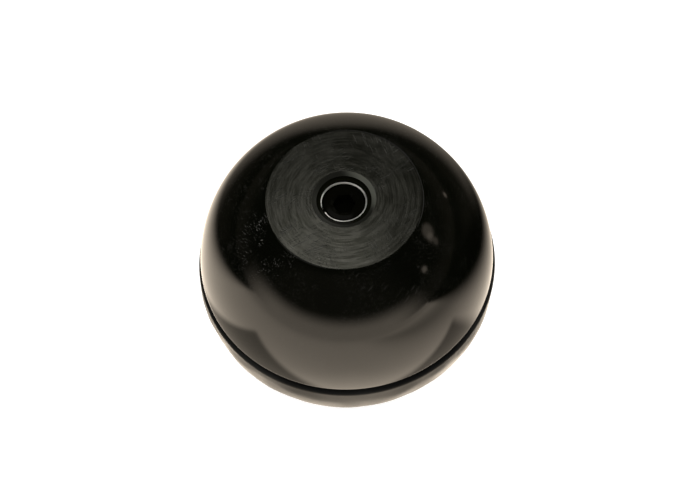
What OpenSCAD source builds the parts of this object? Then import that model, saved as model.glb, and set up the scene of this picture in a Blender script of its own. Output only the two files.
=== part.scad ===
// Friction ball for opening screw-on watch cases: a hard polished grip half
// bolted over a rubber friction half. Millimetres, +Z up. The origin is the
// centre of the small foot flat under the rubber half.

/* [Grip half] */
// Diameter of the polished ball
grip_d = 60; // [58:0.5:64]
// Height of the ball's centre above the seam plane
centre_rise = 0.5; // [0:0.1:2]
// Height of the top flat above the ball's centre
flat_rise = 25.6; // [25:0.1:26.5]
// Rounding of the top flat's rim
rim_round = 0.6; // [0.3:0.1:1]
// Rounding of the polished half's lower edge
grip_edge_round = 1.5; // [0.3:0.1:2]

/* [Friction half] */
// Diameter of the rubber half at its band
friction_d = 60.9; // [58:0.1:66]
// Height of the straight band under the seam
band_h = 2.2; // [1:0.1:5]
// Radius of the shoulder that turns the band into the bowl
shoulder_r = 19.2; // [17:0.1:21]
// Angle below the band where the shoulder runs into the base arc
blend_angle = 44; // [40:2:50]
// Diameter of the foot flat
foot_d = 20; // [12:1:24]
// Rounding of the rubber half's upper edge
friction_edge_round = 0.6; // [0.1:0.1:0.8]

/* [Seam] */
// Open gap between the two halves at the seam
seam_gap = 0.2; // [0.1:0.1:1.5]
// Diameter of the steel backing plate
plate_d = 57; // [50:1:57]
// Thickness of the steel backing plate
plate_t = 2.5; // [2:0.5:4]

/* [Mouth] */
// Diameter of the mouth in the top flat
mouth_d = 10.9; // [10:0.1:13]
// Width of the mouth's chamfer, seen from above
mouth_chamfer = 0.9; // [0.2:0.1:1.2]
// Depth of the mouth's chamfer
mouth_chamfer_depth = 0.5; // [0.2:0.1:0.6]
// Depth of the ledge above the screw's bore
mouth_depth = 0.8; // [0.7:0.1:1.5]

/* [Clamp screw] */
// Nominal thread diameter
screw_d = 5; // [5:1:5]
// Head diameter
head_d = 8.7; // [8.7:0.1:8.8]
// Head height
head_h = 5; // [4.5:0.5:5]
// Length under the head
screw_len = 30; // [28:1:30]
// Hexagon socket size across its flats
socket_af = 4; // [3:0.5:4]
// Hexagon socket depth
socket_depth = 2.5; // [2:0.5:3]
// Thread pitch, one turn's travel
thread_pitch = 0.8; // [0.5:0.1:0.8]

/* [Snap ring] */
// Diameter of the ring's wire
wire_d = 0.5; // [0.3:0.05:0.5]
// Radius of the ring's centre line
ring_r = 4.5; // [4.45:0.01:4.5]
// Angle of the middle of the ring's gap
ring_gap_at = 205; // [0:5:360]
// Angle that the ring's gap takes up
ring_gap = 11; // [6:1:30]

/* [Drive pins] */
// Pitch circle diameter of the pins
pin_pcd = 36; // [30:1:38]
// Diameter of each pin
pin_d = 5; // [4:0.5:6]
// Height of each pin above the backing plate
pin_rise = 6; // [4:0.5:8]
// Wall of each bush round a pin
bush_wall = 1.5; // [1:0.1:2]

/* [Hidden] */
$fn = 96;

grip_r = grip_d / 2;
friction_r = friction_d / 2;
foot_r = foot_d / 2;

// The bowl is a shoulder arc that runs smoothly into a larger base arc. Both
// have a corner every 2 degrees, so they share one where they join.
shoulder_x = friction_r - shoulder_r;
base_lift = shoulder_x * tan(blend_angle);
base_r = shoulder_r + shoulder_x / cos(blend_angle);
bowl_h = sqrt(base_r * base_r - foot_r * foot_r) - base_lift;
shoulder_z = bowl_h;
base_z = shoulder_z + base_lift;

// Heights of the main faces
seam_z = bowl_h + band_h;
plate_top_z = seam_z + seam_gap;
plate_bottom_z = plate_top_z - plate_t;
ball_z = seam_z + centre_rise;
flat_z = ball_z + flat_rise;
ledge_z = flat_z - mouth_depth;

// The ring sits in a groove just under the ledge, over the screw's head.
running_gap = 0.05;
head_gap = 0.25;
head_bore_r = head_d / 2 + head_gap;
groove_r = head_bore_r + 0.25;
groove_h = wire_d + 0.15;
groove_top_z = ledge_z - 0.2;
ring_z = groove_top_z - groove_h / 2;
ring_shift = 0.08;
head_top_z = ring_z - wire_d / 2 - running_gap;
head_bottom_z = head_top_z - head_h;
screw_tip_z = head_bottom_z - screw_len;

washer_t = 1.6;
washer_r = 4.25;
washer_slot = 1;
flange_top_z = head_bottom_z - washer_t;
flange_t = 1.5;
sleeve_r = 3.6;
shank_bore_r = screw_d / 2 + 2 * running_gap;
thread_bore_r = screw_d / 2 + running_gap;

boss_r = 7.5;
spigot_r = 5;
tip_room = 1.5;
boss_floor = 1.5;
thread_end_z = screw_tip_z - tip_room;
boss_bottom_z = thread_end_z - boss_floor;

pin_r = pin_d / 2;
pin_top_z = plate_top_z + pin_rise;
bush_r = pin_r + bush_wall;
bush_h = pin_rise + 1;
bush_end_room = 0.5;
eps = 0.01;

// A disc or tube between two heights
module disc(z0, z1, r) translate([0, 0, z0]) cylinder(h = z1 - z0, r = r);

// A cone between two heights, its first radius at z0
module cone(z0, z1, r0, r1) translate([0, 0, z0]) cylinder(h = z1 - z0, r1 = r0, r2 = r1);

// Children stood at the place of drive pin number i
module at_pin(i) rotate(90 + 120 * i) translate([pin_pcd / 2, 0, 0]) children();

// The half circle of radius r about height z, right of the axis
module half_circle(r, z) {
    intersection() {
        translate([0, z]) circle(r, $fn = 180);
        translate([0, z - r]) square([r, 2 * r]);
    }
}

// Half section of the grip half, with both of its edges rounded
module grip_section() {
    rim_x = sqrt(pow(grip_r - rim_round, 2) - pow(flat_rise - rim_round, 2));
    edge_z = seam_gap - centre_rise + grip_edge_round;
    edge_x = sqrt(pow(grip_r - grip_edge_round, 2) - pow(edge_z, 2));
    intersection() {
        half_circle(grip_r, ball_z);
        translate([0, plate_top_z]) square([grip_r, flat_z - plate_top_z]);
        union() {
            // Between the lines from the ball's centre through both roundings
            translate([0, ball_z]) polygon([
                [0, 0], 2 * [edge_x, edge_z], 2 * [edge_x, flat_rise],
                2 * [rim_x, flat_rise - rim_round]
            ]);
            translate([rim_x, flat_z - rim_round]) circle(rim_round);
            translate([edge_x, ball_z + edge_z]) circle(grip_edge_round);
            translate([0, seam_z]) square([edge_x, centre_rise + edge_z]);
            translate([0, seam_z]) square([rim_x, centre_rise + flat_rise]);
        }
    }
}

// Half section of the rubber half: band, shoulder arc and base arc
module friction_section() {
    top_x = friction_r - friction_edge_round;
    intersection() {
        square([friction_r, seam_z]);
        union() {
            translate([shoulder_x, shoulder_z]) circle(shoulder_r, $fn = 180);
            intersection() {
                half_circle(base_r, base_z);
                translate([0, base_z]) polygon([
                    [0, 0], 4 * [shoulder_x, -base_lift], [0, -2 * base_r]
                ]);
            }
            translate([0, shoulder_z])
                square([friction_r, band_h - friction_edge_round]);
            translate([0, shoulder_z]) square([top_x, band_h]);
            translate([top_x, seam_z - friction_edge_round])
                circle(friction_edge_round);
        }
    }
}

// Rubber half ball, with a pocket for the backing plate and its boss
module friction_half() {
    color([0.09, 0.09, 0.09]) difference() {
        rotate_extrude($fn = 180) friction_section();
        disc(plate_bottom_z, seam_z + 1, plate_d / 2);
        disc(boss_bottom_z, seam_z, boss_r);
    }
}

// Steel disc that the rubber is bonded to
module backing_plate() {
    color("slategray") difference() {
        disc(plate_bottom_z, plate_top_z, plate_d / 2);
        disc(plate_bottom_z - 1, plate_top_z + 1, spigot_r);
        for (i = [0:2]) at_pin(i) disc(plate_bottom_z - 1, plate_top_z + 1, pin_r);
    }
}

// Threaded boss set into the backing plate from below
module threaded_boss() {
    color("goldenrod") difference() {
        union() {
            disc(boss_bottom_z, plate_bottom_z, boss_r);
            disc(boss_bottom_z, plate_top_z, spigot_r);
        }
        disc(thread_end_z, plate_top_z + 1, thread_bore_r);
    }
}

// Dowel pin number i, which carries the turning force across the seam
module drive_pin(i) {
    tip = 0.6;
    color("silver") at_pin(i) {
        disc(plate_bottom_z, pin_top_z - tip, pin_r);
        cone(pin_top_z - tip, pin_top_z, pin_r, pin_r - tip);
    }
}

// Polished half ball with its flat, mouth, ring groove, bore and pin holes
module grip_dome() {
    color([0.03, 0.03, 0.03]) difference() {
        rotate_extrude($fn = 180) grip_section();
        cone(flat_z - mouth_chamfer_depth, flat_z + eps,
             mouth_d / 2, mouth_d / 2 + mouth_chamfer + eps);
        disc(ledge_z, flat_z + 1, mouth_d / 2);
        disc(groove_top_z - groove_h, groove_top_z, groove_r);
        disc(flange_top_z - flange_t, flat_z, head_bore_r);
        disc(seam_z, flat_z, sleeve_r);
        for (i = [0:2])
            at_pin(i) disc(seam_z, plate_top_z + bush_h + bush_end_room, bush_r);
    }
}

// Flanged metal sleeve that takes the screw's clamping load
module screw_sleeve() {
    color("goldenrod") difference() {
        union() {
            disc(flange_top_z - flange_t, flange_top_z, head_bore_r);
            disc(plate_top_z, flange_top_z, sleeve_r);
        }
        disc(plate_top_z - 1, flange_top_z + 1, shank_bore_r);
    }
}

// Small split washer under the screw's head
module lock_washer() {
    color("gray") difference() {
        disc(flange_top_z, head_bottom_z, washer_r);
        disc(flange_top_z - 1, head_bottom_z + 1, shank_bore_r);
        rotate(30) translate([0, -washer_slot / 2, flange_top_z - 1])
            cube([2 * washer_r, washer_slot, washer_t + 2]);
    }
}

// Open wire ring that keeps the screw in the grip half
module retaining_ring() {
    color("silver") translate([-ring_shift, 0, ring_z])
        rotate(ring_gap_at + ring_gap / 2)
            rotate_extrude(angle = 360 - ring_gap)
                translate([ring_r, 0]) circle(d = wire_d, $fn = 32);
}

// Bush number i in the grip half, which slides on a drive pin
module pin_bush(i) {
    color("goldenrod") at_pin(i) difference() {
        disc(plate_top_z, plate_top_z + bush_h, bush_r);
        disc(plate_top_z - 1, plate_top_z + bush_h + 1, pin_r + running_gap);
    }
}

// Socket head cap screw, its thread drawn as a plain cylinder
module clamp_screw() {
    edge = 0.5;
    lead_in = 0.25;
    socket_r = socket_af / 2 / cos(30);
    color([0.15, 0.15, 0.16]) difference() {
        union() {
            disc(head_bottom_z, head_top_z - edge, head_d / 2);
            cone(head_top_z - edge, head_top_z, head_d / 2, head_d / 2 - edge);
            disc(screw_tip_z + thread_pitch, head_bottom_z, screw_d / 2);
            cone(screw_tip_z, screw_tip_z + thread_pitch,
                 screw_d / 2 - thread_pitch, screw_d / 2);
        }
        translate([0, 0, head_top_z - socket_depth])
            cylinder(h = socket_depth + 1, r = socket_r, $fn = 6);
        cone(head_top_z - lead_in, head_top_z + eps,
             socket_r - lead_in, socket_r + lead_in + eps);
    }
}

friction_half();
backing_plate();
threaded_boss();
for (i = [0:2]) {
    drive_pin(i);
    pin_bush(i);
}
grip_dome();
screw_sleeve();
lock_washer();
retaining_ring();
clamp_screw();
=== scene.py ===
"""Looks for the case opening friction ball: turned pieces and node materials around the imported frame."""

import math

import bmesh
import bpy
from mathutils import Matrix, Vector, noise


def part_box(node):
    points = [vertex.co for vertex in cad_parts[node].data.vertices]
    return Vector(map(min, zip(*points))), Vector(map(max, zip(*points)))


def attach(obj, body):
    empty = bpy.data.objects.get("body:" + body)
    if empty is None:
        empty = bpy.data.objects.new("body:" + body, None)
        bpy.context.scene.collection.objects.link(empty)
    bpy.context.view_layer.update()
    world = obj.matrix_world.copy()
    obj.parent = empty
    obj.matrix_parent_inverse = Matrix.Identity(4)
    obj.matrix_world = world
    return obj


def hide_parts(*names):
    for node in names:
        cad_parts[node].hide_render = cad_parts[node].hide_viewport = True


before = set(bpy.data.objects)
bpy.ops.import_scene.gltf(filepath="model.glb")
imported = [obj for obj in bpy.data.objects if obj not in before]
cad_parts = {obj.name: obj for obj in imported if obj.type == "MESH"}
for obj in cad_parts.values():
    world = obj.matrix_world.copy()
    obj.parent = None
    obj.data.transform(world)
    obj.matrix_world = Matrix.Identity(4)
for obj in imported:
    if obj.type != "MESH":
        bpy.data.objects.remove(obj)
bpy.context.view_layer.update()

MM = 0.001
TAU = 2 * math.pi

# ---------------------------------------------------------------- measures from the frame

_, HALF_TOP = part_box("friction_half")
DOME_LOW, DOME_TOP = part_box("grip_dome")
PLATE_LOW, PLATE_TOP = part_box("backing_plate")
BOSS_LOW, BOSS_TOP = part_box("threaded_boss")
SCREW_LOW, SCREW_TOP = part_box("clamp_screw")
WASHER_LOW, WASHER_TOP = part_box("lock_washer")
SLEEVE_LOW, SLEEVE_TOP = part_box("screw_sleeve")
RING_LOW, RING_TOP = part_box("retaining_ring")
PIN_LOW, PIN_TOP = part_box("drive_pin_1")
BUSH_LOW, BUSH_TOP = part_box("pin_bush_1")

SEAM_Z = HALF_TOP.z
FRICTION_R = HALF_TOP.x
FLAT_Z = DOME_TOP.z
PLATE_R = PLATE_TOP.x
BOSS_R = BOSS_TOP.x
SCREW_HEAD_R = SCREW_TOP.x
PIN_R = (PIN_TOP.x - PIN_LOW.x) / 2
BUSH_R = (BUSH_TOP.x - BUSH_LOW.x) / 2
PIN_CIRCLE_R = (PIN_TOP.y + PIN_LOW.y) / 2
PIN_ANGLES = [math.radians(90 + 120 * i) for i in range(3)]

# Sizes that the nodes' boxes don't give, as the CAD source has them
GRIP_R = 30 * MM
RIM_ROUND = 0.6 * MM
FLAT_RISE = 25.6 * MM
BALL_Z = FLAT_Z - FLAT_RISE
GRIP_EDGE_ROUND = 1.5 * MM
FRICTION_EDGE_ROUND = 0.6 * MM
BAND_H = 2.2 * MM
SHOULDER_R = 19.2 * MM
BLEND_ANGLE = math.radians(44)
FOOT_R = 10 * MM
MOUTH_R = 5.45 * MM
MOUTH_CHAMFER = 0.9 * MM
MOUTH_CHAMFER_DEPTH = 0.5 * MM
MOUTH_DEPTH = 0.8 * MM
HEAD_BORE_R = 4.6 * MM
GROOVE_R = 4.85 * MM
GROOVE_H = 0.65 * MM
GROOVE_LIP = 0.2 * MM
SLEEVE_R = 3.6 * MM
SPIGOT_R = 5 * MM
SHANK_R = 2.5 * MM
SHANK_BORE_R = 2.6 * MM
THREAD_BORE_R = 2.55 * MM
THREAD_PITCH = 0.8 * MM
HEAD_H = 5 * MM
SOCKET_AF = 4 * MM
SOCKET_DEPTH = 2.5 * MM
RING_SHIFT = -0.08 * MM
RING_GAP_AT = 205
RING_GAP = 11
THREAD_END_Z = SCREW_LOW.z - 1.5 * MM
FLANGE_T = 1.5 * MM
BUSH_END_ROOM = 0.5 * MM

# The wire ring as it looks. In the CAD source it is round, and its wire is a little thicker.
WIRE_R = 0.22 * MM
RING_R = 4.53 * MM
RING_SQUEEZE = 0.97

# ---------------------------------------------------------------- camera

CAMERA_ELEVATION = math.radians(62.8)
CAMERA_ROLL = math.radians(-2.75)
CAMERA_DISTANCE = 0.54
CAMERA_LENS = 135.2
CAMERA_SHIFT = (0.0046, 0.0121)


def add_camera():
    """The photograph's view: from above and in front, on the ball's centre."""
    cam = bpy.data.objects.new("camera", bpy.data.cameras.new("camera"))
    bpy.context.scene.collection.objects.link(cam)
    back = Vector((0, -math.cos(CAMERA_ELEVATION), math.sin(CAMERA_ELEVATION)))
    cam.location = Vector((0, 0, BALL_Z)) + back * CAMERA_DISTANCE
    look = back.to_track_quat("Z", "Y").to_matrix().to_4x4()
    cam.matrix_world = Matrix.Translation(cam.location) @ look @ Matrix.Rotation(CAMERA_ROLL, 4, "Z")
    cam.data.lens = CAMERA_LENS
    cam.data.shift_x, cam.data.shift_y = CAMERA_SHIFT
    cam.data.clip_start = 0.01
    bpy.context.scene.camera = cam


add_camera()

# ---------------------------------------------------------------- node material helpers


class Nodes:
    """A small builder for one material's node tree."""

    def __init__(self, name):
        self.material = bpy.data.materials.new(name)
        self.material.use_nodes = True
        self.tree = self.material.node_tree
        self.shader = self.tree.nodes["Principled BSDF"]
        self.place = self.add("ShaderNodeTexCoord").outputs["Object"]

    def add(self, kind, **settings):
        node = self.tree.nodes.new(kind)
        for key, value in settings.items():
            setattr(node, key, value)
        return node

    def link(self, source, target):
        """Joins an output to an input, or sets the input where source is a number or colour."""
        if isinstance(source, bpy.types.NodeSocket):
            self.tree.links.new(source, target)
        else:
            target.default_value = source

    def set(self, **values):
        """Sets or joins the Principled shader's sockets: base_color=... becomes Base Color."""
        names = {s.name.lower().replace(" ", "_"): s for s in self.shader.inputs}
        for key, value in values.items():
            self.link(value, names[key])

    def math(self, operation, a, b=0.0, c=0.0, clamp=False):
        node = self.add("ShaderNodeMath", operation=operation, use_clamp=clamp)
        for socket, value in zip(node.inputs, (a, b, c)):
            self.link(value, socket)
        return node.outputs[0]

    def xyz(self, vector=None):
        node = self.add("ShaderNodeSeparateXYZ")
        self.link(vector or self.place, node.inputs[0])
        return node.outputs

    def vector(self, x, y, z):
        node = self.add("ShaderNodeCombineXYZ")
        for socket, value in zip(node.inputs, (x, y, z)):
            self.link(value, socket)
        return node.outputs[0]

    def stretched(self, scale, turn=(0, 0, 0)):
        """The object's place, turned and then scaled along each axis."""
        turned = self.add("ShaderNodeMapping")
        self.link(self.place, turned.inputs["Vector"])
        turned.inputs["Rotation"].default_value = [math.radians(a) for a in turn]
        scaled = self.add("ShaderNodeMapping")
        self.link(turned.outputs[0], scaled.inputs["Vector"])
        scaled.inputs["Scale"].default_value = scale
        return scaled.outputs[0]

    def noise(self, scale, detail=2.0, roughness=0.5, vector=None, distortion=0.0):
        node = self.add("ShaderNodeTexNoise")
        self.link(vector or self.place, node.inputs["Vector"])
        node.inputs["Scale"].default_value = scale
        node.inputs["Detail"].default_value = detail
        node.inputs["Roughness"].default_value = roughness
        node.inputs["Distortion"].default_value = distortion
        return node.outputs["Fac"]

    def ramp(self, value, low, high, out_low=0.0, out_high=1.0):
        """value from low..high to out_low..out_high, smooth and held at the ends."""
        node = self.add("ShaderNodeMapRange", interpolation_type="SMOOTHSTEP")
        for socket, v in zip(node.inputs[:5], (value, low, high, out_low, out_high)):
            self.link(v, socket)
        return node.outputs[0]

    def mix(self, share, a, b):
        node = self.add("ShaderNodeMix", data_type="RGBA")
        for socket, value in zip((node.inputs[0], node.inputs[6], node.inputs[7]), (share, a, b)):
            self.link(value, socket)
        return node.outputs[2]

    def bump(self, height, distance, strength=1.0, over=None):
        """A normal from a height of 0 to 1 that stands for distance metres."""
        node = self.add("ShaderNodeBump")
        node.inputs["Strength"].default_value = strength
        node.inputs["Distance"].default_value = distance
        self.link(height, node.inputs["Height"])
        if over is not None:
            self.link(over, node.inputs["Normal"])
        return node.outputs[0]

    def radius(self):
        """Distance from the ball's axis, in metres."""
        x, y, _ = self.xyz()
        return self.math("SQRT", self.math("ADD", self.math("MULTIPLY", x, x), self.math("MULTIPLY", y, y)))

    def scratches(self, turn, density=7000, length=300, cut=0.66):
        """Thin short scratches along one direction, in loose groups, 0 to 1."""
        lines = self.noise(1.0, 1.0, 0.4, self.stretched((density, length, density), turn))
        groups = self.ramp(self.noise(140, 2, 0.5, self.stretched((1, 1, 1), turn)), 0.44, 0.58)
        return self.math("MULTIPLY", self.ramp(lines, cut, cut + 0.06), groups)

    def flecks(self, scale, share):
        """Small round pits or specks, 0 to 1, where a coarser noise is above share."""
        cells = self.add("ShaderNodeTexVoronoi", feature="F1")
        self.link(self.place, cells.inputs["Vector"])
        cells.inputs["Scale"].default_value = scale
        dots = self.ramp(cells.outputs["Distance"], 0.13, 0.05)
        return self.math("MULTIPLY", dots, self.ramp(self.noise(scale * 0.35, 1), share, share + 0.05))


WARM_WHITE = (1.17, 1.01, 0.82, 1)
EYE_LIGHT = 1.2
EYE_TINT = (1.0, 0.99, 0.97)
FLAT_DARK = (0.0018, 0.0019, 0.0012, 1)
FLAT_LIGHT = (0.0050, 0.0052, 0.0036, 1)
FLAT_TINTS = ((0.42, 0.43, 0.35, 1), (1.0, 1.0, 0.88, 1))


def grey(value, warm=0.0):
    """An opaque grey, a little warmer where warm is above 0."""
    return (value * (1 + warm), value, value * (1 - warm), 1)


# ---------------------------------------------------------------- materials


def polished_black():
    """Polished black hard plastic: deep gloss, wipe marks, light grey scratches and specks that are partly
    painted glints, strongest in one patch, and a duller rim at the flat.
    """
    patch_x, patch_y = -14.5 * MM, -7.5 * MM
    patch_core, patch_end, elsewhere = 3 * MM, 8 * MM, 0.14
    m = Nodes("polished_black_plastic")
    haze = m.noise(90, 4, 0.6)
    fine = m.noise(1.0, 2, 0.6, m.stretched((2600, 700, 2600), (12, 0, 24)))
    lines = m.math("MAXIMUM", m.scratches((0, 25, 48)), m.scratches((35, 0, -28), 8000, 420))
    x, y, z = m.xyz()
    squares = [m.math("POWER", m.math("SUBTRACT", v, at), 2.0) for v, at in ((x, patch_x), (y, patch_y))]
    from_patch = m.math("SQRT", m.math("ADD", *squares))
    # Painted glints: the scratches and specks are painted light grey, most strongly in a patch near the
    # flat's lower left, where a lamp would catch them. The scratches themselves are real marks.
    scratch_glint_patch = m.ramp(from_patch, patch_core, patch_end, 1.0, elsewhere)
    marks = m.math("MULTIPLY", m.math("MAXIMUM", lines, m.flecks(900, 0.58)), scratch_glint_patch)
    colour = m.mix(m.math("MULTIPLY", marks, 0.5), (0.0011, 0.0013, 0.0006, 1), grey(0.20, 0.05))
    rough = m.math("ADD", m.ramp(haze, 0.3, 0.75, 0.07, 0.14), m.math("MULTIPLY", marks, 0.3))
    dull_rim = m.ramp(z, FLAT_Z - 0.8 * MM, FLAT_Z - 0.2 * MM, 0.5, 0.12)
    m.set(base_color=colour, roughness=rough, ior=1.55, specular_ior_level=dull_rim)
    wavy = m.bump(m.noise(38, 3, 0.55), 0.012 * MM)
    m.set(normal=m.bump(marks, -0.003 * MM, 1.0, m.bump(fine, 0.0010 * MM, 1.0, wavy)))
    return m.material


def turned_flat():
    """The faced flat: satin, with fine rings from the lathe tool and short handling scratches."""
    m = Nodes("turned_flat")
    r = m.radius()
    x, y, _ = m.xyz()
    around = [m.math("MULTIPLY", m.math("DIVIDE", v, r), 2.2) for v in (x, y)]
    coarse = m.noise(1.0, 3, 0.65, m.vector(m.math("MULTIPLY", r, 1300), *around))
    fine = m.noise(1.0, 2, 0.6, m.vector(m.math("MULTIPLY", r, 2800), *around))
    patchy = m.noise(210, 4, 0.65)
    rings = m.math("ADD", m.math("MULTIPLY", coarse, 0.45), m.math("MULTIPLY", fine, 0.55))
    lines = m.math("MAXIMUM", m.scratches((0, 0, 62), 7000, 250, 0.62),
                   m.scratches((0, 0, -20), 8000, 400, 0.64))
    marks = m.ramp(m.math("ADD", rings, m.math("MULTIPLY", patchy, 0.4)), 0.56, 0.84)
    colour = m.mix(marks, FLAT_DARK, FLAT_LIGHT)
    colour = m.mix(m.math("MULTIPLY", lines, 0.25), colour, grey(0.05))
    m.set(base_color=colour, roughness=m.ramp(patchy, 0.3, 0.7, 0.20, 0.27), ior=1.53,
          specular_tint=m.mix(marks, *FLAT_TINTS))
    m.set(normal=m.bump(lines, -0.006 * MM, 1.0, m.bump(rings, 0.022 * MM)))
    return m.material


def cut_chamfer():
    """The mouth's chamfer: dark, with a lighter matt grey painted on the side that catches the key lights,
    as painted light.
    """
    lit_side_x, lit_side_y = 0.86, 0.51
    m = Nodes("cut_chamfer")
    x, y, _ = m.xyz()
    marks = m.noise(1.0, 3, 0.6, m.vector(m.math("MULTIPLY", m.radius(), 9000), 0.3, 0.7))
    patchy = m.noise(1100, 3, 0.6)
    # Painted light: the side of the chamfer that catches the key lights is painted a lighter matt grey by
    # position.
    side = m.math("ADD", m.math("MULTIPLY", x, lit_side_x), m.math("MULTIPLY", y, lit_side_y))
    brightened = m.ramp(m.math("ADD", side, m.math("MULTIPLY", patchy, 0.8 * MM)), 3.0 * MM, 6.2 * MM)
    m.set(base_color=m.mix(brightened, (0.006, 0.0063, 0.0048, 1), (0.052, 0.054, 0.045, 1)), ior=1.3,
          roughness=m.ramp(marks, 0.3, 0.7, 0.34, 0.48), specular_tint=(0.98, 1.0, 0.86, 1))
    m.set(normal=m.bump(marks, 0.003 * MM))
    return m.material


def bore_black():
    """The bore's wall and ledge: smooth, black, faint turning rings."""
    per_metre = 5200
    m = Nodes("bore_black")
    _, _, z = m.xyz()
    down, out = (m.math("MULTIPLY", v, per_metre) for v in (z, m.radius()))
    rings = m.noise(1.0, 2, 0.6, m.vector(down, out, 0.4))
    m.set(base_color=m.mix(rings, (0.0012, 0.0013, 0.0006, 1), (0.0026, 0.0027, 0.0014, 1)),
          roughness=m.ramp(rings, 0.3, 0.7, 0.04, 0.07), ior=1.3, specular_ior_level=0.04)
    m.set(normal=m.bump(rings, 0.0008 * MM))
    return m.material


def friction_rubber():
    """Moulded black rubber, smooth with a fine skin and faint patches of bloom."""
    m = Nodes("friction_rubber")
    skin = m.noise(2400, 3, 0.65)
    pores = m.noise(700, 2, 0.5)
    bloom = m.noise(70, 4, 0.6)
    m.set(base_color=m.mix(m.ramp(bloom, 0.4, 0.75), grey(0.005), grey(0.011)))
    _, _, z = m.xyz()
    # Painted shade: the rubber's reflection is painted dimmer, with a darker specular tint, close under the
    # seam between the two halves.
    lower = m.ramp(z, SEAM_Z - 5.5 * MM, SEAM_Z - 0.8 * MM, 1.0, 0.0)
    uneven = m.math("ADD", bloom, m.math("MULTIPLY", skin, 0.4))
    m.set(roughness=m.ramp(uneven, 0.5, 0.95, 0.34, 0.46), ior=1.37,
          specular_tint=m.mix(lower, (0.34, 0.34, 0.30, 1), (0.76, 0.75, 0.68, 1)))
    m.set(normal=m.bump(skin, 0.004 * MM, 1.0, m.bump(pores, 0.010 * MM)))
    return m.material


def metal(name, colour, rough_low, rough_high, rings=3000, height=0.004, along_z=False, metallic=1.0):
    """A turned or drawn metal: fine marks round the axis, uneven roughness and a little tarnish.

    rings is the marks' count per metre, height their depth in millimetres."""
    m = Nodes(name)
    _, _, z = m.xyz()
    along = z if along_z else m.math("ADD", m.radius(), m.math("MULTIPLY", z, 0.7))
    marks = m.noise(1.0, 2, 0.6, m.vector(m.math("MULTIPLY", along, rings), 1.3, 0.2))
    tarnish = m.noise(260, 4, 0.65)
    dark = tuple(c * 0.55 for c in colour[:3]) + (1,)
    m.set(base_color=m.mix(m.ramp(tarnish, 0.45, 0.8), colour, dark), metallic=metallic)
    m.set(roughness=m.ramp(m.math("ADD", marks, tarnish), 0.7, 1.3, rough_low, rough_high))
    m.set(normal=m.bump(marks, height * MM))
    return m.material


def black_oxide():
    """Oiled black oxide on steel: near black, bare and brighter only on a few rubbed spots."""
    m = Nodes("black_oxide_steel")
    patch = m.noise(420, 4, 0.65)
    brightened = m.ramp(m.noise(900, 2, 0.5), 0.72, 0.8)
    m.set(base_color=m.mix(m.math("MULTIPLY", brightened, 0.1), (0.0013, 0.0013, 0.0008, 1), grey(0.02)),
          ior=1.2, specular_ior_level=0.05)
    m.set(roughness=m.ramp(patch, 0.3, 0.7, 0.05, 0.08), normal=m.bump(patch, 0.0006 * MM))
    return m.material


# ---------------------------------------------------------------- mesh helpers

# An edge is sharp above this angle, in degrees. Points nearer than these lengths are one, or on the axis.
SHARP_ANGLE = 24
SAME_PLACE = 1e-8
ON_AXIS = 1e-7


def arc(centre, radius, start, end, steps):
    """Points (r, z) on an arc, angles in degrees from the +r direction."""
    for i in range(steps + 1):
        a = math.radians(start + (end - start) * i / steps)
        yield centre[0] + radius * math.cos(a), centre[1] + radius * math.sin(a)


def new_piece(name, bm, materials, body, nodes, sharp=SHARP_ANGLE):
    """Turns a bmesh into a smooth-shaded piece that rides on body and stands for CAD nodes."""
    bmesh.ops.recalc_face_normals(bm, faces=bm.faces)
    mesh = bpy.data.meshes.new(name)
    bm.to_mesh(mesh)
    bm.free()
    for material in materials:
        mesh.materials.append(material)
    mesh.shade_smooth()
    mesh.set_sharp_from_angle(angle=math.radians(sharp))
    piece = bpy.data.objects.new(name, mesh)
    bpy.context.scene.collection.objects.link(piece)
    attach(piece, body)
    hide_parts(*nodes)
    return piece


def join_rings(bm, a, b, steps, material=0):
    """Faces between two rings of vertices. Either ring may be a single point on the axis."""
    for i in range(steps):
        j = (i + 1) % steps
        corners = dict.fromkeys((a[i % len(a)], a[j % len(a)], b[j % len(b)], b[i % len(b)]))
        if len(corners) > 2:
            bm.faces.new(list(corners)).material_index = material


def lathe(runs, steps=192, about=(0, 0), bump=None):
    """A closed bmesh of revolution. runs is a list of (points, material index) that joins into one closed
    outline of (r, z) points, or one that starts and ends on the axis. bump(place) moves each vertex."""
    outline, index = [], []
    for points, material in runs:
        for r, z in points:
            if outline and math.hypot(outline[-1][0] - r, outline[-1][1] - z) < SAME_PLACE:
                continue
            outline.append((max(r, 0.0), z))
            index.append(material)
    bm = bmesh.new()
    rings = []
    for r, z in outline:
        ring = []
        for i in range(1 if r < ON_AXIS else steps):
            angle = TAU * i / steps
            place = Vector((about[0] + r * math.cos(angle), about[1] + r * math.sin(angle), z))
            ring.append(bm.verts.new(bump(place) if bump else place))
        rings.append(ring)
    open_ended = len(rings[0]) == 1 and len(rings[-1]) == 1
    pairs = list(zip(range(len(rings) - 1), range(1, len(rings))))
    if not open_ended:
        pairs.append((len(rings) - 1, 0))
    for a, b in pairs:
        join_rings(bm, rings[a], rings[b], steps, index[b])
    return bm


def cut_with(piece, cutters):
    """Subtracts temporary cutter bmeshes from a piece."""
    for bm in cutters:
        mesh = bpy.data.meshes.new("cutter")
        bmesh.ops.recalc_face_normals(bm, faces=bm.faces)
        bm.to_mesh(mesh)
        bm.free()
        cutter = bpy.data.objects.new("cutter", mesh)
        bpy.context.scene.collection.objects.link(cutter)
        boolean = piece.modifiers.new("cut", "BOOLEAN")
        boolean.object = cutter
        boolean.operation = "DIFFERENCE"
        boolean.solver = "EXACT"
        bpy.context.view_layer.update()
        done = bpy.data.meshes.new_from_object(piece.evaluated_get(bpy.context.evaluated_depsgraph_get()))
        piece.modifiers.clear()
        piece.data = done
        bpy.data.objects.remove(cutter)
    piece.data.shade_smooth()
    piece.data.set_sharp_from_angle(angle=math.radians(SHARP_ANGLE))


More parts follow.
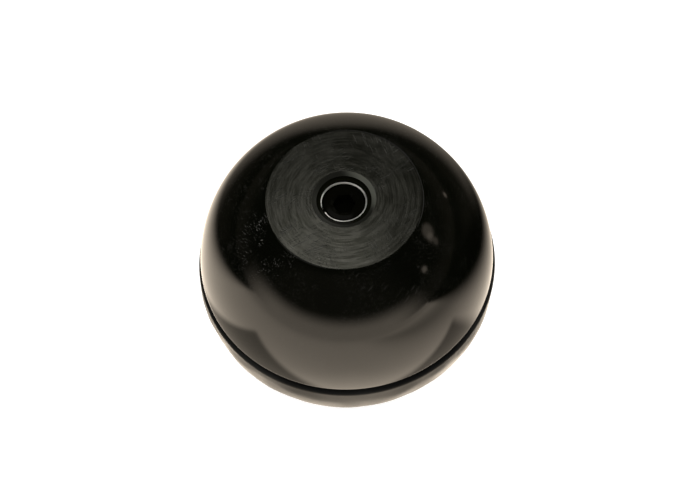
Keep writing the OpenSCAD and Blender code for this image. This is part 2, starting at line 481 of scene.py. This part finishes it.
def rod(radius, low, high, steps, about=(0, 0), turn=0.0):
    """A plain prism or cylinder cutter."""
    bm = bmesh.new()
    ends = []
    for z in (low, high):
        angles = [turn + TAU * i / steps for i in range(steps)]
        ends.append([bm.verts.new((about[0] + radius * math.cos(a), about[1] + radius * math.sin(a), z))
                     for a in angles])
    join_rings(bm, *ends, steps)
    bm.faces.new(reversed(ends[0]))
    bm.faces.new(ends[1])
    return bm


def pin_place(angle):
    """The axis of the pin at angle, as (x, y)."""
    return PIN_CIRCLE_R * math.cos(angle), PIN_CIRCLE_R * math.sin(angle)


def tube(inner, outer, low, high, edge):
    """The closed outline of a tube with small chamfers."""
    return [(inner + edge, low), (outer - edge, low), (outer, low + edge), (outer, high - edge),
            (outer - edge, high), (inner + edge, high), (inner, high - edge), (inner, low + edge)]


# ---------------------------------------------------------------- grip half


def grip_dome():
    """The polished half: ball surface, rounded edges, flat, chamfered mouth, ring groove and bore."""
    low = DOME_LOW.z
    edge_up = low + GRIP_EDGE_ROUND - BALL_Z
    edge_x = math.sqrt((GRIP_R - GRIP_EDGE_ROUND) ** 2 - edge_up ** 2)
    edge_angle = math.degrees(math.atan2(edge_up, edge_x))
    rim_x = math.sqrt((GRIP_R - RIM_ROUND) ** 2 - (FLAT_RISE - RIM_ROUND) ** 2)
    rim_angle = math.degrees(math.atan2(FLAT_RISE - RIM_ROUND, rim_x))
    groove_top = FLAT_Z - MOUTH_DEPTH - GROOVE_LIP
    flange_low = SLEEVE_TOP.z - FLANGE_T
    gloss, flat, bore, chamfer = range(4)
    runs = [
        ([(SLEEVE_R, low), (edge_x - 1 * MM, low)], gloss),
        (arc((edge_x, BALL_Z + edge_up), GRIP_EDGE_ROUND, -90, edge_angle, 10), gloss),
        (arc((0, BALL_Z), GRIP_R, edge_angle, rim_angle, 120), gloss),
        (arc((rim_x, FLAT_Z - RIM_ROUND), RIM_ROUND, rim_angle, 90, 8), gloss),
        ([(r * MM, FLAT_Z) for r in (15.3, 14, 12, 10, 8)] + [(MOUTH_R + MOUTH_CHAMFER, FLAT_Z)], flat),
        ([(MOUTH_R, FLAT_Z - MOUTH_CHAMFER_DEPTH)], chamfer),
        ([(MOUTH_R, FLAT_Z - MOUTH_CHAMFER_DEPTH - 0.01 * MM), (MOUTH_R, FLAT_Z - MOUTH_DEPTH),
          (HEAD_BORE_R, FLAT_Z - MOUTH_DEPTH), (HEAD_BORE_R, groove_top), (GROOVE_R, groove_top),
          (GROOVE_R, groove_top - GROOVE_H), (HEAD_BORE_R, groove_top - GROOVE_H),
          (HEAD_BORE_R, flange_low), (SLEEVE_R, flange_low), (SLEEVE_R, low)], bore),
    ]
    looks = [MATERIALS[k] for k in ("gloss", "flat", "bore", "chamfer")]
    piece = new_piece("polished_grip_dome", lathe(runs, 256), looks, "grip_body",
                      ["grip_dome"])
    cut_with(piece, [rod(BUSH_R, low - 1 * MM, BUSH_TOP.z + BUSH_END_ROOM, 64, pin_place(a))
                     for a in PIN_ANGLES])
    return piece


def screw_sleeve():
    """The flanged sleeve that lines the bore under the screw's head."""
    flange_low = SLEEVE_TOP.z - FLANGE_T
    edge = 0.15 * MM
    outline = [(SHANK_BORE_R + edge, SLEEVE_LOW.z), (SLEEVE_R - edge, SLEEVE_LOW.z),
               (SLEEVE_R, SLEEVE_LOW.z + edge), (SLEEVE_R, flange_low), (HEAD_BORE_R - edge, flange_low),
               (HEAD_BORE_R, flange_low + edge), (HEAD_BORE_R, SLEEVE_TOP.z - edge),
               (HEAD_BORE_R - edge, SLEEVE_TOP.z), (SHANK_BORE_R + edge, SLEEVE_TOP.z),
               (SHANK_BORE_R, SLEEVE_TOP.z - edge), (SHANK_BORE_R, SLEEVE_LOW.z + edge)]
    return new_piece("flanged_sleeve", lathe([(outline, 0)], 96), [MATERIALS["brass"]], "grip_body",
                     ["screw_sleeve"])


def pin_bush(number, angle):
    """One bush in the grip half's lower face."""
    outline = tube(PIN_R + 0.05 * MM, BUSH_R, BUSH_LOW.z, BUSH_TOP.z, 0.2 * MM)
    return new_piece(f"flush_pin_bush_{number}", lathe([(outline, 0)], 64, pin_place(angle)),
                     [MATERIALS["brass"]], "grip_body", [f"pin_bush_{number}"])


def lock_washer():
    """A split spring washer: a flat ring with a slanted cut."""
    bm = bmesh.new()
    steps, gap, slant = 72, math.radians(8), math.radians(10)
    shy = 0.01 * MM  # clear of the faces that the washer touches
    outer = WASHER_TOP.x - 2 * shy
    low, high = WASHER_LOW.z + shy, WASHER_TOP.z - shy
    middle = math.radians(30)
    rings = []
    for i in range(steps + 1):
        ring = []
        for r, z in ((SHANK_BORE_R, low), (outer, low), (outer, high), (SHANK_BORE_R, high)):
            lean = slant * (1 if z > (low + high) / 2 else -1) / 2
            start, end = middle + gap / 2 + lean, middle + TAU - gap / 2 + lean
            a = start + (end - start) * i / steps
            ring.append(bm.verts.new((r * math.cos(a), r * math.sin(a), z)))
        rings.append(ring)
    for a, b in zip(rings, rings[1:]):
        join_rings(bm, a, b, 4)
    bm.faces.new(rings[0])
    bm.faces.new(reversed(rings[-1]))
    return new_piece("split_lock_washer", bm, [MATERIALS["spring"]], "grip_body",
                     ["lock_washer"])


def retaining_ring():
    """The open wire ring: one end bends out to the groove, the other lies a little inside."""
    bm = bmesh.new()
    steps, sides = 180, 20
    bends_per_length, bend_in, bend_out = 14, 0.16 * MM, 0.12 * MM
    tilt = 0.015  # how far the ring sinks per length towards the back
    end_scale = 0.86
    up = Vector((0, 0, 1))
    centre_z = (RING_LOW.z + RING_TOP.z) / 2
    start = math.radians(RING_GAP_AT + RING_GAP / 2)
    end = math.radians(RING_GAP_AT - RING_GAP / 2 + 360)
    path = []
    for i in range(steps + 1):
        t = i / steps
        a = start + (end - start) * t
        inward = max(0, 1 - t * bends_per_length) ** 2 * bend_in
        outward = max(0, 1 - (1 - t) * bends_per_length) ** 2 * bend_out
        r = RING_R - inward + outward
        y = r * math.sin(a) * RING_SQUEEZE
        path.append(Vector((RING_SHIFT + r * math.cos(a), y, centre_z - y * tilt)))
    rings = []
    for i, place in enumerate(path):
        ahead = (path[min(i + 1, steps)] - path[max(i - 1, 0)]).normalized()
        side = ahead.cross(up).normalized()
        r = WIRE_R * (end_scale if i in (0, steps) else 1.0)
        angles = [TAU * k / sides for k in range(sides)]
        rings.append([bm.verts.new(place + r * (side * math.cos(a) + up * math.sin(a))) for a in angles])
    for a, b in zip(rings, rings[1:]):
        join_rings(bm, a, b, sides)
    bm.faces.new(rings[0])
    bm.faces.new(reversed(rings[-1]))
    return new_piece("wire_snap_ring", bm, [MATERIALS["wire"]], "grip_body",
                     ["retaining_ring"], 50)


# ---------------------------------------------------------------- friction half


def rubber_lump(place):
    """Moulded rubber isn't quite true: its outer skin wanders by a tenth or two of a millimetre."""
    inner_r, top_z = 12 * MM, SEAM_Z - 0.7 * MM
    lumps_per_metre, height = 110, 0.24
    r = math.hypot(place.x, place.y)
    if r < inner_r or place.z > top_z:
        return place
    share = min(1.0, (r - inner_r) / (8 * MM)) * min(1.0, (top_z - place.z) / (3 * MM))
    wander = noise.fractal(place * lumps_per_metre, 1.0, 2.0, 2, noise_basis="PERLIN_NEW")
    return place + Vector((place.x / r, place.y / r, 0)) * wander * height * MM * share


def friction_half():
    """The rubber half: band, shoulder, base, foot flat with a dimple, and the pocket for plate and boss."""
    dimple_r, dimple_h = 1.5 * MM, 0.35 * MM
    shoulder_x = FRICTION_R - SHOULDER_R
    base_lift = shoulder_x * math.tan(BLEND_ANGLE)
    base_r = SHOULDER_R + shoulder_x / math.cos(BLEND_ANGLE)
    shoulder_z = SEAM_Z - BAND_H
    foot_angle = -math.degrees(math.acos(FOOT_R / base_r))
    blend_angle = -math.degrees(BLEND_ANGLE)
    top_x = FRICTION_R - FRICTION_EDGE_ROUND
    runs = [
        ([(0, dimple_h), (dimple_r, dimple_h)], 0),
        ([(r * MM, 0) for r in (1.9, 4, 7, 9.6)], 0),
        (arc((0, shoulder_z + base_lift), base_r, foot_angle, blend_angle, 40), 0),
        (arc((shoulder_x, shoulder_z), SHOULDER_R, blend_angle, 0, 60), 0),
        ([(FRICTION_R, shoulder_z + BAND_H * k / 6) for k in range(1, 5)], 0),
        (arc((top_x, SEAM_Z - FRICTION_EDGE_ROUND), FRICTION_EDGE_ROUND, 0, 90, 8), 0),
        ([(PLATE_R, SEAM_Z), (PLATE_R, PLATE_LOW.z)], 0),
        ([(BOSS_R, PLATE_LOW.z), (BOSS_R, BOSS_LOW.z), (0, BOSS_LOW.z)], 0),
    ]
    return new_piece("rubber_friction_half", lathe(runs, 256, bump=rubber_lump), [MATERIALS["rubber"]],
                     "friction_body", ["friction_half"])


def backing_plate():
    """The steel disc that the rubber is bonded to, with holes for the boss and the pins."""
    outline = tube(SPIGOT_R, PLATE_R, PLATE_LOW.z, PLATE_TOP.z, 0.15 * MM)
    piece = new_piece("steel_backing_plate", lathe([(outline, 0)], 192), [MATERIALS["zinc"]],
                      "friction_body", ["backing_plate"])
    cut_with(piece, [rod(PIN_R, PLATE_LOW.z - 1 * MM, PLATE_TOP.z + 1 * MM, 64, pin_place(a))
                     for a in PIN_ANGLES])
    return piece


def threaded_boss():
    """The boss in the plate, with its threaded hole as a plain bore."""
    edge = 0.2 * MM
    outline = [(0, BOSS_LOW.z), (BOSS_R - edge, BOSS_LOW.z), (BOSS_R, BOSS_LOW.z + edge),
               (BOSS_R, PLATE_LOW.z), (SPIGOT_R, PLATE_LOW.z),
               (SPIGOT_R, BOSS_TOP.z - edge), (SPIGOT_R - edge, BOSS_TOP.z),
               (THREAD_BORE_R + 2 * edge, BOSS_TOP.z), (THREAD_BORE_R, BOSS_TOP.z - 2 * edge),
               (THREAD_BORE_R, THREAD_END_Z), (0, THREAD_END_Z)]
    return new_piece("tapped_boss", lathe([(outline, 0)], 96), [MATERIALS["brass"]], "friction_body",
                     ["threaded_boss"])


def drive_pin(number, angle):
    """One dowel pin, chamfered below and rounded at its tip."""
    tip = 0.6 * MM
    edge = 0.2 * MM
    outline = [(0, PIN_LOW.z), (PIN_R - edge, PIN_LOW.z), (PIN_R, PIN_LOW.z + edge)]
    outline += [(PIN_R, PIN_TOP.z - tip)]
    outline += list(arc((PIN_R - tip, PIN_TOP.z - tip), tip * 0.98, 0, 78, 8))
    outline += [(0, PIN_TOP.z - 0.01 * MM)]
    return new_piece(f"dowel_pin_{number}", lathe([(outline, 0)], 64, pin_place(angle)),
                     [MATERIALS["ground"]], "friction_body", [f"drive_pin_{number}"])


# ---------------------------------------------------------------- clamp screw


def clamp_screw():
    """Socket head cap screw: knurled head with a hexagon socket, and a true helical thread."""
    head_low, head_top = SCREW_TOP.z - HEAD_H, SCREW_TOP.z
    steps, rows_per_pitch = 96, 12
    depth = 0.54 * THREAD_PITCH
    plain_h = 4 * MM
    crest, flank = 1.25, 1.35
    thread_low, thread_high = SCREW_LOW.z + 0.9 * THREAD_PITCH, head_low - plain_h
    point_r, point_h = 1.6 * MM, 0.2 * MM
    point_taper, root_share = 0.5 * MM, 0.4
    run_out_h, lead_in_h = 1.5 * MM, 1.2 * MM
    flute = 0.12 * MM
    dish = 0.3 * MM
    socket_corner = SOCKET_AF / 2 / math.cos(math.radians(30))
    bm = bmesh.new()
    rings = [[bm.verts.new((0, 0, SCREW_LOW.z))]]

    def ring(radius, z):
        """Adds one ring of vertices. radius is a length or a function of the vertex's number."""
        row = []
        for i in range(steps):
            angle = TAU * i / steps
            r = radius(i) if callable(radius) else radius
            row.append(bm.verts.new((r * math.cos(angle), r * math.sin(angle), z)))
        rings.append(row)

    def thread(z):
        """The thread's radius at height z, as a function of the vertex's number."""
        run_out = min(1.0, max(0.0, (thread_high - z) / run_out_h))
        lead_in = min(1.0, max(0.0, (z - SCREW_LOW.z) / lead_in_h))

        def radius(i):
            phase = ((z - SCREW_LOW.z) / THREAD_PITCH - i / steps) % 1
            ridge = min(1.0, max(0.0, crest - abs(phase - 0.5) * 2 * flank))
            full = SHANK_R - depth + depth * ridge
            taper = (1 - lead_in) * point_taper * (1 if ridge > 0.3 else root_share)
            return full * run_out + SHANK_R * (1 - run_out) - taper
        return radius

    def knurl(i):
        return SCREW_HEAD_R - (flute if i % 2 else 0.0)

    ring(point_r, SCREW_LOW.z)
    count = int((thread_high - thread_low) / THREAD_PITCH * rows_per_pitch)
    for k in range(count + 1):
        z = SCREW_LOW.z + point_h + (thread_high - SCREW_LOW.z - point_h) * k / count
        ring(thread(z), z)
    neck = [(SHANK_R, thread_high + 0.3 * MM), (SHANK_R, head_low - 0.4 * MM),
            (SHANK_R + 0.08 * MM, head_low)]
    head = [(SCREW_HEAD_R - 0.5 * MM, head_low), (SCREW_HEAD_R - flute, head_low + 0.35 * MM),
            (knurl, head_low + 0.6 * MM), (knurl, head_top - 1.3 * MM),
            (SCREW_HEAD_R - 0.1 * MM, head_top - 1.0 * MM)]
    rim = arc((SCREW_HEAD_R - 0.6 * MM, head_top - 0.55 * MM), 0.55 * MM, 0, 90, 8)
    mouth = [(socket_corner + 0.35 * MM, head_top), (socket_corner - 0.2 * MM, head_top - dish)]
    for radius, z in neck + head + list(rim) + mouth:
        ring(radius, z)
    rings.append([bm.verts.new((0, 0, head_top - dish))])
    for a, b in zip(rings, rings[1:]):
        join_rings(bm, a, b, steps)
    piece = new_piece("socket_cap_screw", bm, [MATERIALS["oxide"]], "screw_body",
                      ["clamp_screw"])
    cut_with(piece, [rod(socket_corner, head_top - SOCKET_DEPTH, head_top + 1 * MM, 6)])
    return piece


# ---------------------------------------------------------------- stage


# What the polished dome mirrors. The sheet is bright in front and on the left, ends in two soft edges
# behind the ball, and darkens towards the right. Each edge is (normal x, normal y, distance, outer fade,
# inner fade), the last three in millimetres.
SHEET_LIGHT = 1.62
BACK_LEFT_EDGE = (-0.344, 0.939, 64.4, 12, -34)
BACK_RIGHT_EDGE = (0.58, 0.815, 45.2, 16, -24)
SHADE_LEFT_EDGES = ((-0.812, 0.584, 34.7, 4, -3), (0.152, -0.988, 39.5, 5, -3))
SHADE_RIGHT_EDGES = ((0.659, 0.753, 17.5, 6, -4), (0.054, -0.999, 41.8, 4, -3))
SHADE_DEPTH = 0.73
FRONT_BAND = (-0.225, -0.974)
# What the floor adds to its own light, for the camera only
FLOOR_LIFT = 0.6
# Small far lamps that only mirror rays see: direction, half angle in degrees, strength
GLINTS = (((0.902, 0.070, 0.426), 6.5, 0.50), ((0.924, 0.012, 0.381), 4.5, 0.45),
          ((0.955, 0.004, 0.298), 2.0, 0.4), ((0.878, -0.353, 0.325), 1.3, 1.0),
          ((0.839, 0.544, 0.010), 1.8, 0.8))


def add_floor():
    """A wide, plain pale sheet. Only mirror rays see its bright and dark parts."""
    bm = bmesh.new()
    size = 3.0
    bm.faces.new([bm.verts.new((x * size, y * size, 0)) for x, y in ((-1, -1), (1, -1), (1, 1), (-1, 1))])
    mesh = bpy.data.meshes.new("floor")
    bm.to_mesh(mesh)
    bm.free()
    floor = bpy.data.objects.new("floor", mesh)
    bpy.context.scene.collection.objects.link(floor)

    m = Nodes("pale_floor")
    x, y, _ = m.xyz()

    def inside(edge):
        nx, ny, distance, outer, inner = edge
        away = m.math("ADD", m.math("MULTIPLY", x, nx), m.math("MULTIPLY", y, ny))
        return m.ramp(away, (distance + inner) * MM, (distance + outer) * MM, 1.0, 0.0)

    def product(*values):
        result = values[0]
        for value in values[1:]:
            result = m.math("MULTIPLY", result, value)
        return result

    # All ramps here run over metres from the ball's axis. The sheet dims with distance and to the right.
    near = m.radius()
    aside = m.math("ABSOLUTE", x)
    far = m.ramp(near, 0.15, 0.7, 1.0, 0.72)
    right_fade = m.math("MULTIPLY", m.ramp(x, 0.02, 0.14, 0.0, 0.56), m.ramp(near, 0.15, 0.5, 1.0, 0.0))
    sheet = product(inside(BACK_LEFT_EDGE), inside(BACK_RIGHT_EDGE), m.math("SUBTRACT", 1.0, right_fade))
    # A faint glow behind the ball, and a shaded wedge on each side of it
    behind = product(m.ramp(aside, 0.01, 0.10, 0.26, 0.02), m.ramp(y, 0.03, 0.06),
                     m.ramp(near, 0.10, 0.40, 1.0, 0.25))
    left = product(*map(inside, SHADE_LEFT_EDGES), m.ramp(x, -0.02, -0.005, 1.0, 0.0))
    right = product(*map(inside, SHADE_RIGHT_EDGES), m.ramp(x, 0.005, 0.02, 0.0, 1.0))
    beyond = m.ramp(near, 0.036, 0.040)
    shade = m.math("SUBTRACT", 1.0, product(m.math("MAXIMUM", left, right), beyond, SHADE_DEPTH))
    # A lighter strip close by on both sides, and a brighter patch round the foot
    beside = product(m.ramp(near, 0.034, 0.040, 1.0, 0.0), m.ramp(aside, 0.018, 0.030, 0.0, 1.7))
    hot = m.ramp(m.math("ADD", near, m.math("MULTIPLY", aside, 0.6)), 0.035, 0.085, 1.3, 1.0)
    seen = m.math("ADD", product(sheet, far, shade, m.math("ADD", hot, beside), SHEET_LIGHT), behind)
    glow = m.add("ShaderNodeEmission")
    glow.inputs["Color"].default_value = WARM_WHITE
    m.link(seen, glow.inputs["Strength"])
    path = m.add("ShaderNodeLightPath")
    m.set(base_color=m.mix(m.noise(300, 3), grey(0.81), grey(0.84)), roughness=0.9)
    m.set(emission_color=grey(1.0),
          emission_strength=m.math("MULTIPLY", path.outputs["Is Camera Ray"], FLOOR_LIFT))
    choose = m.add("ShaderNodeMixShader")
    m.link(path.outputs["Is Glossy Ray"], choose.inputs[0])
    m.link(m.shader.outputs[0], choose.inputs[1])
    m.link(glow.outputs[0], choose.inputs[2])
    m.link(choose.outputs[0], m.tree.nodes["Material Output"].inputs["Surface"])
    mesh.materials.append(m.material)


def add_world():
    """Pale to the eye; in mirror rays dark overhead, with a bright low band on the camera's side."""
    world = bpy.data.worlds.new("studio")
    bpy.context.scene.world = world
    world.use_nodes = True
    tree = world.node_tree
    tree.nodes.clear()

    def add(kind, *values):
        """A node with its first inputs joined or set. None leaves an input as it is."""
        node = tree.nodes.new(kind)
        for socket, value in zip(node.inputs, values):
            if isinstance(value, bpy.types.NodeSocket):
                tree.links.new(value, socket)
            elif value is not None:
                socket.default_value = value
        return node

    def ranged(*limits):
        """A smooth step: value, low, high, and what it gives at low and at high."""
        node = add("ShaderNodeMapRange", *limits)
        node.interpolation_type = "SMOOTHSTEP"
        return node.outputs[0]

    def maths(operation, a, b):
        node = add("ShaderNodeMath", a, b)
        node.operation = operation
        return node.outputs[0]

    parts = add("ShaderNodeSeparateXYZ", add("ShaderNodeTexCoord").outputs["Generated"]).outputs

    def along(direction):
        """How far the ray goes along a direction of two or three parts."""
        result = 0.0
        for part, share in zip(parts, direction):
            result = maths("ADD", result, maths("MULTIPLY", part, share))
        return result

    low = ranged(parts[2], 0.07, 0.31, 1.15, 0.03)
    band = maths("MULTIPLY", low, ranged(along(FRONT_BAND), 0.26, 0.77, 0.03, 1.0))
    for direction, half_angle, strength in GLINTS:
        edge, core = (math.cos(math.radians(half_angle * k)) for k in (1.0, 0.4))
        band = maths("ADD", band, ranged(along(direction), edge, core, 0.0, strength))
    mirrored = add("ShaderNodeLightPath").outputs["Is Glossy Ray"]
    brightness = add("ShaderNodeMix", mirrored, None, EYE_LIGHT, band).outputs[0]
    tint = add("ShaderNodeCombineXYZ", *[ranged(mirrored, 0, 1, pale, warm)
                                         for pale, warm in zip(EYE_TINT, WARM_WHITE)])
    back = add("ShaderNodeBackground", tint.outputs[0], brightness)
    add("ShaderNodeOutputWorld", back.outputs[0])


def add_light(name, place, target, size, power, colour=(1, 0.97, 0.93)):
    """A round soft light at place that points at target."""
    data = bpy.data.lights.new(name, "AREA")
    data.shape = "DISK"
    data.size = size
    data.energy = power
    data.color = colour
    lamp = bpy.data.objects.new(name, data)
    bpy.context.scene.collection.objects.link(lamp)
    lamp.location = place
    lamp.rotation_mode = "QUATERNION"
    lamp.rotation_quaternion = (Vector(target) - Vector(place)).to_track_quat("-Z", "Y")
    return lamp


def add_lights():
    """Three wide faint keys, and a small near lamp that grades the flat."""
    middle = Vector((0, 0, BALL_Z))
    reach = 0.9
    add_light("key_left", middle + reach * Vector((-0.41, -0.06, 0.91)), middle, size=0.5, power=0.6)
    add_light("key_back", middle + reach * Vector((0.30, 0.84, 0.45)), middle, size=0.7, power=1.2)
    add_light("key_right", middle + reach * Vector((0.60, 0.42, 0.68)), middle, size=0.5, power=1.0)
    add_light("flat_lamp", (-0.0075, 0.0670, 0.211), (0, 0, FLAT_Z), size=0.03, power=0.0108)


MATERIALS = {
    "gloss": polished_black(),
    "flat": turned_flat(),
    "bore": bore_black(),
    "chamfer": cut_chamfer(),
    "rubber": friction_rubber(),
    "wire": metal("bright_wire", (0.95, 0.95, 0.90, 1), 0.28, 0.36, rings=9000, height=0.0004,
                  along_z=True, metallic=0.9),
    "oxide": black_oxide(),
    "spring": metal("spring_steel", (0.28, 0.28, 0.29, 1), 0.28, 0.42),
    "zinc": metal("zinc_plated_steel", (0.60, 0.61, 0.63, 1), 0.22, 0.38, rings=2600, height=0.006),
    "ground": metal("ground_steel", (0.62, 0.62, 0.63, 1), 0.14, 0.26, rings=6000, height=0.002,
                    along_z=True),
    "brass": metal("turned_brass", (0.80, 0.58, 0.24, 1), 0.18, 0.34, rings=3200),
}

friction_half()
backing_plate()
threaded_boss()
grip_dome()
screw_sleeve()
lock_washer()
retaining_ring()
for number, angle in enumerate(PIN_ANGLES, 1):
    drive_pin(number, angle)
    pin_bush(number, angle)
clamp_screw()

add_floor()
add_world()
add_lights()
bpy.context.scene.view_settings.view_transform = "Standard"
